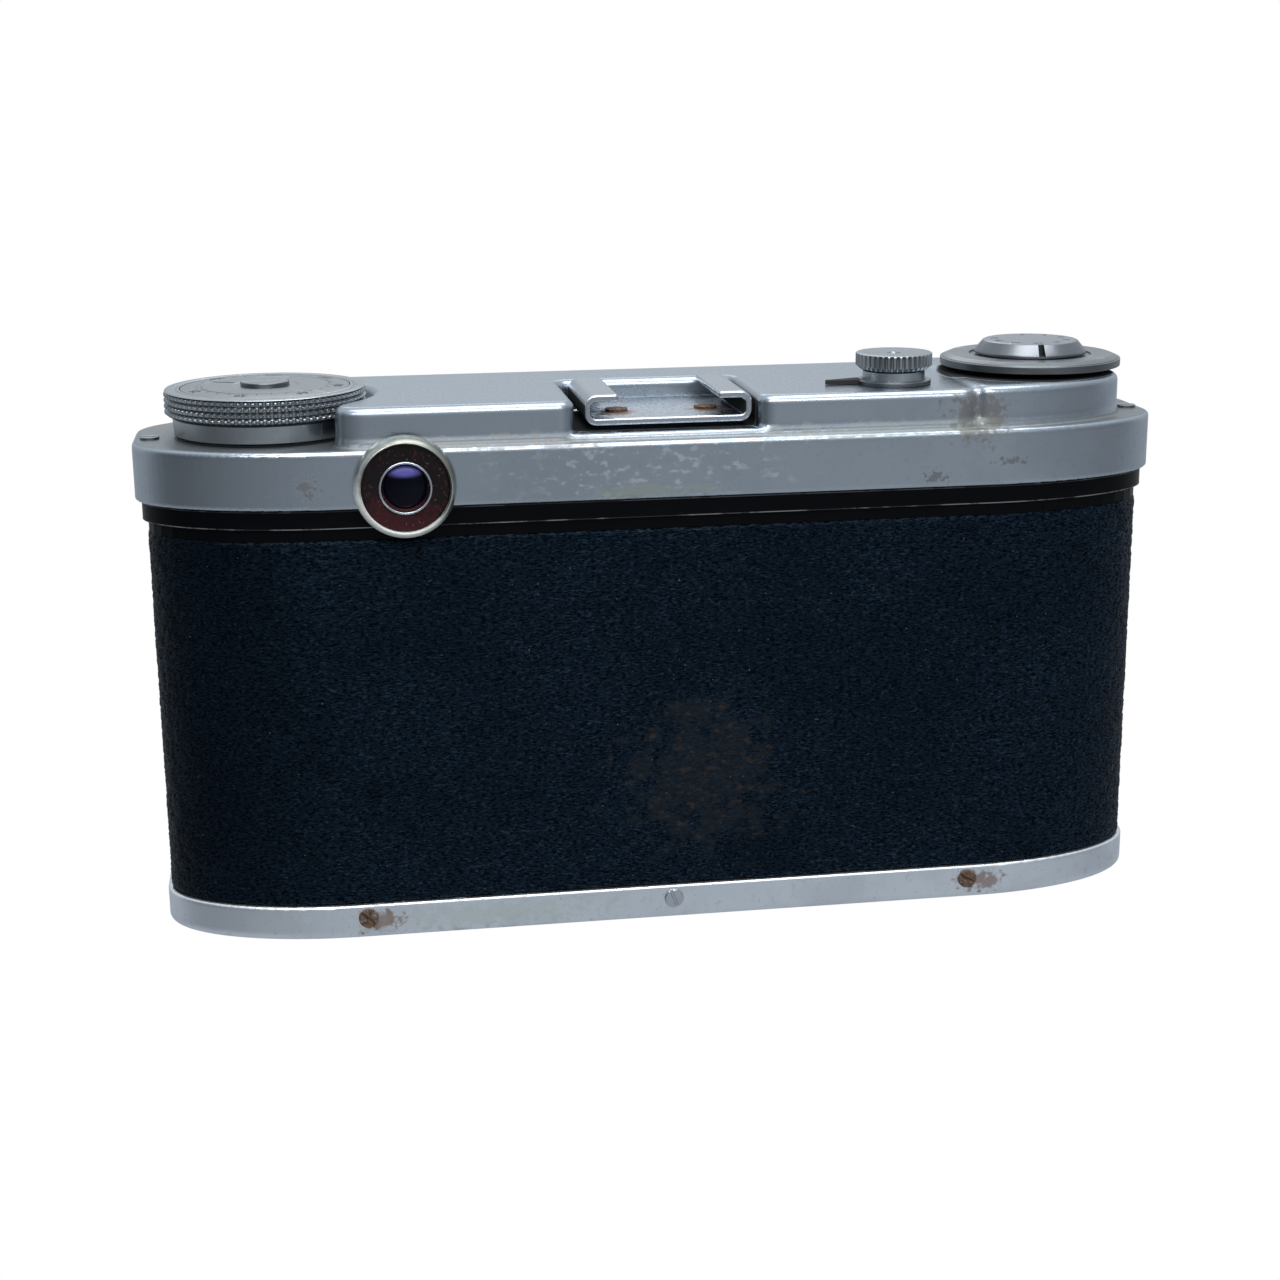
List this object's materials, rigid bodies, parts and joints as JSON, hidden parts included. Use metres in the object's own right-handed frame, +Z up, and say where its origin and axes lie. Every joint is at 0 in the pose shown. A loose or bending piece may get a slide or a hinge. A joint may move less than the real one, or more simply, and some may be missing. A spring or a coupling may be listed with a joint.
{
  "type": "rangefinder camera",
  "caption": "35 mm rangefinder camera with a leaf-shutter lens, top-mounted advance and rewind knobs, an accessory shoe, a round rear eyepiece and a slide-off back.",
  "frame": {"origin": "centre of the tripod socket's mouth, on the underside of the base plate", "axes": "+Z up, -Y forward out of the lens, +X towards the rewind knob"},
  "size_m": [0.13, 0.0547, 0.0714],
  "materials": {
    "satin_chrome": "satin chrome plate, worn",
    "bright_chrome": "bright chrome plate",
    "knurled_steel": "turned and knurled, dull",
    "steel": "turned",
    "rusty_steel": "rusted",
    "spring_steel": "drawn wire",
    "brass": "turned",
    "black_alloy": "gloss black paint",
    "matt_black": "matt black paint",
    "case_black": "semi-gloss black paint",
    "blade_steel": "blued",
    "leatherette": "black pebbled grain",
    "insert_enamel": "dark enamel",
    "coated_glass": "coated",
    "clear_glass": "polished",
    "mirror_glass": "silvered"
  },
  "bodies": {
    "camera_body": {"body_casting": "black_alloy", "front_covering": "leatherette", "top_cover": "satin_chrome", "top_cover_screws": "steel", "accessory_shoe": "bright_chrome", "shoe_screws": "rusty_steel", "eyepiece_ring": "bright_chrome", "eyepiece_insert": "insert_enamel", "eyepiece_lens": "coated_glass", "viewfinder_window": "clear_glass", "rangefinder_window": "clear_glass", "finder_housing": "matt_black", "beam_splitter": "clear_glass", "lens_mount_ring": "bright_chrome", "lock_catches": "steel", "release_spring": "spring_steel"},
    "mirror_arm": {"mirror_arm": "brass", "rangefinder_mirror": "mirror_glass"},
    "focusing_ring": {"focusing_ring": "satin_chrome"},
    "shutter_unit": {"shutter_housing": "case_black", "shutter_cover": "case_black", "front_cell": "case_black", "front_element": "coated_glass", "rear_element": "coated_glass", "flash_socket": "bright_chrome"},
    "speed_ring": {"speed_ring": "satin_chrome"},
    "aperture_ring": {"aperture_ring": "case_black"},
    "cocking_lever": {"cocking_lever": "bright_chrome"},
    "shutter_release_lever": {"shutter_release_lever": "bright_chrome"},
    "advance_knob": {"advance_knob": "satin_chrome", "advance_shaft": "steel"},
    "idler_gear": {"idler_gear": "brass"},
    "sprocket_shaft": {"sprocket_shaft": "steel"},
    "take_up_spool": {"take_up_spool": "matt_black"},
    "counter_dial": {"counter_dial": "satin_chrome"},
    "rewind_sleeve": {"rewind_sleeve": "brass"},
    "rewind_knob": {"rewind_knob": "knurled_steel", "rewind_shaft": "steel", "rewind_hub_screw": "knurled_steel"},
    "reminder_dial": {"reminder_dial": "knurled_steel"},
    "release_button": {"release_button": "knurled_steel"},
    "rewind_lever": {"rewind_lever": "black_alloy"},
    "back": {"bottom_plate": "satin_chrome", "back_shell": "black_alloy", "back_covering": "leatherette", "base_screws": "rusty_steel", "pressure_plate": "matt_black", "pressure_spring": "spring_steel", "tripod_socket": "bright_chrome"},
    "lock_key_left": {"lock_key_left": "bright_chrome"},
    "lock_key_right": {"lock_key_right": "bright_chrome"},
    "shutter_blade_1": {"shutter_blade_1": "blade_steel"},
    "shutter_blade_2": {"shutter_blade_2": "blade_steel"},
    "shutter_blade_3": {"shutter_blade_3": "blade_steel"},
    "iris_blade_1": {"iris_blade_1": "blade_steel"},
    "iris_blade_2": {"iris_blade_2": "blade_steel"},
    "iris_blade_3": {"iris_blade_3": "blade_steel"},
    "iris_blade_4": {"iris_blade_4": "blade_steel"},
    "iris_blade_5": {"iris_blade_5": "blade_steel"}
  },
  "joints": [
    {"name": "back_slide", "type": "slide", "parent": "camera_body", "child": "back", "axis": [0, 0, -1], "range_m": [0, 0.056]},
    {"name": "lock_key_left_turn", "type": "hinge", "parent": "back", "child": "lock_key_left", "pos_m": [0.044, 0, 0.001], "axis": [0, 0, 1], "range_deg": [0, 90]},
    {"name": "lock_key_right_turn", "type": "hinge", "parent": "back", "child": "lock_key_right", "pos_m": [-0.044, 0, 0.001], "axis": [0, 0, 1], "range_deg": [-90, 0]},
    {"name": "rewind_turn", "type": "hinge", "parent": "camera_body", "child": "rewind_sleeve", "pos_m": [0.0486, 0.0008, 0.06], "axis": [0, 0, 1], "continuous": true},
    {"name": "rewind_lift", "type": "slide", "parent": "rewind_sleeve", "child": "rewind_knob", "axis": [0, 0, 1], "range_m": [0, 0.005]},
    {"name": "reminder_dial_turn", "type": "hinge", "parent": "rewind_knob", "child": "reminder_dial", "pos_m": [0.0486, 0.0008, 0.068], "axis": [0, 0, 1], "continuous": true},
    {"name": "advance_turn", "type": "hinge", "parent": "camera_body", "child": "advance_knob", "pos_m": [-0.05, 0.0008, 0.068], "axis": [0, 0, 1], "continuous": true},
    {"name": "idler_turn", "type": "hinge", "parent": "camera_body", "child": "idler_gear", "pos_m": [-0.03606, 0.00214, 0.058], "axis": [0, 0, 1], "continuous": true},
    {"name": "sprocket_turn", "type": "hinge", "parent": "camera_body", "child": "sprocket_shaft", "pos_m": [-0.02711, 0.003, 0.058], "axis": [0, 0, 1], "continuous": true},
    {"name": "take_up_turn", "type": "hinge", "parent": "camera_body", "child": "take_up_spool", "pos_m": [-0.05, 0.0008, 0.03], "axis": [0, 0, 1], "continuous": true},
    {"name": "counter_turn", "type": "hinge", "parent": "camera_body", "child": "counter_dial", "pos_m": [-0.05, 0.0008, 0.07], "axis": [0, 0, 1], "continuous": true},
    {"name": "release_press", "type": "slide", "parent": "camera_body", "child": "release_button", "axis": [0, 0, -1], "range_m": [0, 0.0012], "deforming": ["release_spring"]},
    {"name": "rewind_lever_turn", "type": "hinge", "parent": "camera_body", "child": "rewind_lever", "pos_m": [-0.0297, 0.008, 0.0674], "axis": [0, 0, 1], "range_deg": [0, 40]},
    {"name": "focus_turn", "type": "hinge", "parent": "camera_body", "child": "focusing_ring", "pos_m": [0, -0.02, 0.029], "axis": [0, -1, 0], "range_deg": [0, 161]},
    {"name": "focus_travel", "type": "slide", "parent": "camera_body", "child": "shutter_unit", "axis": [0, -1, 0], "range_m": [0, 0.0022]},
    {"name": "mirror_turn", "type": "hinge", "parent": "camera_body", "child": "mirror_arm", "pos_m": [-0.005, -0.003, 0.056], "axis": [0, 0, 1], "range_deg": [-1.2, 0]},
    {"name": "speed_turn", "type": "hinge", "parent": "shutter_unit", "child": "speed_ring", "pos_m": [0, -0.029, 0.029], "axis": [0, -1, 0], "range_deg": [0, 220]},
    {"name": "aperture_turn", "type": "hinge", "parent": "shutter_unit", "child": "aperture_ring", "pos_m": [0, -0.032, 0.029], "axis": [0, -1, 0], "range_deg": [0, 80]},
    {"name": "cocking_turn", "type": "hinge", "parent": "shutter_unit", "child": "cocking_lever", "pos_m": [0, -0.0275, 0.029], "axis": [0, -1, 0], "range_deg": [0, 60]},
    {"name": "release_lever_turn", "type": "hinge", "parent": "shutter_unit", "child": "shutter_release_lever", "pos_m": [-0.01681, -0.0275, 0.02116], "axis": [0, -1, 0], "range_deg": [0, 12.5]},
    {"name": "shutter_blade_1_turn", "type": "hinge", "parent": "shutter_unit", "child": "shutter_blade_1", "pos_m": [0.00615, -0.024, 0.03965], "axis": [0, -1, 0], "range_deg": [0, 40.5]},
    {"name": "shutter_blade_2_turn", "type": "hinge", "parent": "shutter_unit", "child": "shutter_blade_2", "pos_m": [-0.0123, -0.0246, 0.029], "axis": [0, -1, 0], "range_deg": [0, 40.5]},
    {"name": "shutter_blade_3_turn", "type": "hinge", "parent": "shutter_unit", "child": "shutter_blade_3", "pos_m": [0.00615, -0.0252, 0.01835], "axis": [0, -1, 0], "range_deg": [0, 40.5]},
    {"name": "iris_blade_1_turn", "type": "hinge", "parent": "shutter_unit", "child": "iris_blade_1", "pos_m": [0.0084, -0.0277, 0.029], "axis": [0, -1, 0], "range_deg": [0, 38.5]},
    {"name": "iris_blade_2_turn", "type": "hinge", "parent": "shutter_unit", "child": "iris_blade_2", "pos_m": [0.0026, -0.02796, 0.03699], "axis": [0, -1, 0], "range_deg": [0, 38.5]},
    {"name": "iris_blade_3_turn", "type": "hinge", "parent": "shutter_unit", "child": "iris_blade_3", "pos_m": [-0.0068, -0.02822, 0.03394], "axis": [0, -1, 0], "range_deg": [0, 38.5]},
    {"name": "iris_blade_4_turn", "type": "hinge", "parent": "shutter_unit", "child": "iris_blade_4", "pos_m": [-0.0068, -0.02848, 0.02406], "axis": [0, -1, 0], "range_deg": [0, 38.5]},
    {"name": "iris_blade_5_turn", "type": "hinge", "parent": "shutter_unit", "child": "iris_blade_5", "pos_m": [0.0026, -0.02874, 0.02101], "axis": [0, -1, 0], "range_deg": [0, 38.5]}
  ],
  "couplings": [
    {"joint": "idler_turn", "follows": "advance_turn", "ratio": -1.3333},
    {"joint": "sprocket_turn", "follows": "advance_turn", "ratio": 2.6667},
    {"joint": "take_up_turn", "follows": "advance_turn", "ratio": 1},
    {"joint": "counter_turn", "follows": "advance_turn", "ratio": 0.066667},
    {"joint": "focus_turn", "follows": "focus_travel", "rad_per_m": 1269.3},
    {"joint": "mirror_turn", "follows": "focus_travel", "rad_per_m": -8.4886},
    {"joint": "release_lever_turn", "follows": "release_press", "rad_per_m": 174.53},
    {"joint": "shutter_blade_1_turn", "follows": "release_press", "rad_per_m": 581.78},
    {"joint": "shutter_blade_2_turn", "follows": "release_press", "rad_per_m": 581.78},
    {"joint": "shutter_blade_3_turn", "follows": "release_press", "rad_per_m": 581.78},
    {"joint": "iris_blade_1_turn", "follows": "aperture_turn", "ratio": 0.475},
    {"joint": "iris_blade_2_turn", "follows": "aperture_turn", "ratio": 0.475},
    {"joint": "iris_blade_3_turn", "follows": "aperture_turn", "ratio": 0.475},
    {"joint": "iris_blade_4_turn", "follows": "aperture_turn", "ratio": 0.475},
    {"joint": "iris_blade_5_turn", "follows": "aperture_turn", "ratio": 0.475}
  ]
}
